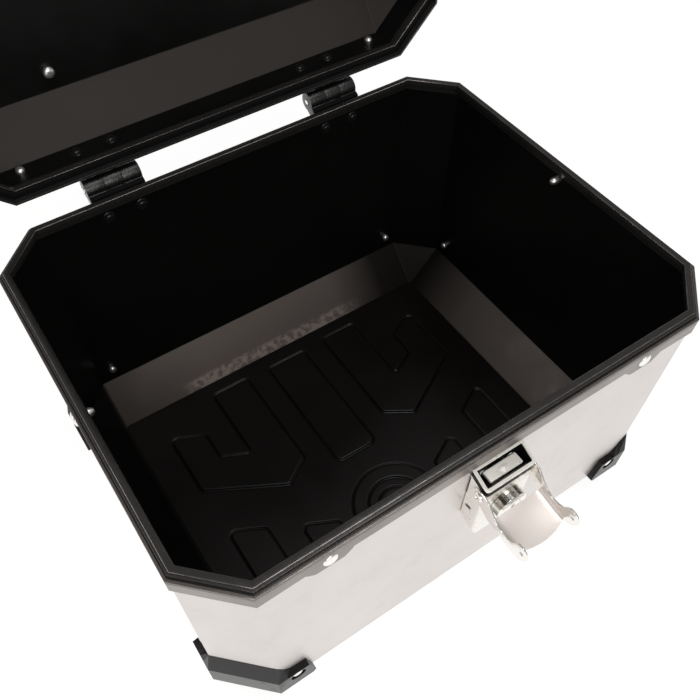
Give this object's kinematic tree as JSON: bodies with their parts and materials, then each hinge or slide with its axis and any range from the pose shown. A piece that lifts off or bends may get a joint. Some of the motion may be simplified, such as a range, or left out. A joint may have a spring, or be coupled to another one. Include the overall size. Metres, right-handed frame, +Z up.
{
  "type": "motorcycle top case",
  "caption": "Octagonal sheet aluminium luggage box with a framed rim, black corner guards, a lever latch with key lock and a lid standing open on two hinges.",
  "frame": {"origin": "centre of the mounting plate's lower face, under the middle of the case", "axes": "+Z up, +Y towards the hinges, +X to the right seen from the latch side; the lid stands open at a right angle at rest"},
  "size_m": [0.4424, 0.5057, 0.6323],
  "materials": {
    "shell_aluminium": "satin anodised sheet",
    "trim_silver": "brushed anodised band",
    "rim_black": "satin black anodised extrusion",
    "mat_rubber": "embossed matt mat",
    "seal_rubber": "soft black foam rubber",
    "guard_plastic": "fine moulded grain",
    "hinge_black": "rough black powder coat",
    "latch_steel": "polished stainless steel",
    "lock_steel": "turned nickel plate",
    "fastener_steel": "bright zinc",
    "plate_black": "black powder coat"
  },
  "bodies": {
    "case": {"body_shell": "shell_aluminium", "body_rim_frame": "rim_black", "body_trim_band": "trim_silver", "floor_mat": "mat_rubber", "mounting_plate": "plate_black", "body_guard_front_left": "guard_plastic", "guard_rivet_front_left_wall": "fastener_steel", "guard_rivet_front_left_side": "fastener_steel", "body_guard_front_right": "guard_plastic", "guard_rivet_front_right_wall": "fastener_steel", "guard_rivet_front_right_side": "fastener_steel", "body_guard_back_left": "guard_plastic", "guard_rivet_back_left_wall": "fastener_steel", "guard_rivet_back_left_side": "fastener_steel", "body_guard_back_right": "guard_plastic", "guard_rivet_back_right_wall": "fastener_steel", "guard_rivet_back_right_side": "fastener_steel", "band_rivet_front_left": "fastener_steel", "band_rivet_side_left": "fastener_steel", "hinge_body_leaf_left": "hinge_black", "hinge_pin_left": "hinge_black", "hinge_body_bolt_left_outer": "fastener_steel", "hinge_body_bolt_left_inner": "fastener_steel", "band_rivet_front_right": "fastener_steel", "band_rivet_side_right": "fastener_steel", "hinge_body_leaf_right": "hinge_black", "hinge_pin_right": "hinge_black", "hinge_body_bolt_right_outer": "fastener_steel", "hinge_body_bolt_right_inner": "fastener_steel", "latch_housing": "latch_steel", "latch_lever_pin": "latch_steel", "bolt_guide": "latch_steel", "lock_barrel": "lock_steel"},
    "lid": {"lid_shell": "shell_aluminium", "lid_rim_frame": "rim_black", "lid_seal": "seal_rubber", "lid_guard_front_left": "guard_plastic", "tie_down_front_left": "latch_steel", "lid_guard_front_right": "guard_plastic", "tie_down_front_right": "latch_steel", "lid_guard_back_left": "guard_plastic", "tie_down_back_left": "latch_steel", "lid_guard_back_right": "guard_plastic", "tie_down_back_right": "latch_steel", "hinge_lid_leaf_left": "hinge_black", "hinge_lid_bolt_left_outer": "fastener_steel", "hinge_lid_bolt_left_inner": "fastener_steel", "hinge_lid_leaf_right": "hinge_black", "hinge_lid_bolt_right_outer": "fastener_steel", "hinge_lid_bolt_right_inner": "fastener_steel", "lid_strike": "latch_steel", "strike_bar": "latch_steel"},
    "lever": {"latch_lever": "latch_steel"},
    "lock_plug": {"lock_plug": "lock_steel", "lock_cam": "latch_steel"},
    "lock_bolt": {"lock_bolt": "latch_steel"}
  },
  "joints": [
    {"name": "lid_hinge", "type": "hinge", "parent": "case", "child": "lid", "pos_m": [0, 0.1876, 0.2527], "axis": [1, 0, 0], "range_deg": [0, 90]},
    {"name": "lever_hinge", "type": "hinge", "parent": "case", "child": "lever", "pos_m": [0, -0.185, 0.2143], "axis": [-1, 0, 0], "range_deg": [0, 90]},
    {"name": "lock_turn", "type": "hinge", "parent": "case", "child": "lock_plug", "pos_m": [0, -0.185, 0.1953], "axis": [0, -1, 0], "range_deg": [0, 90]},
    {"name": "bolt_slide", "type": "slide", "parent": "case", "child": "lock_bolt", "axis": [0, 0, 1], "range_m": [0, 0.004]}
  ],
  "couplings": [
    {"joint": "lock_turn", "follows": "bolt_slide", "rad_per_m": 392.6}
  ]
}
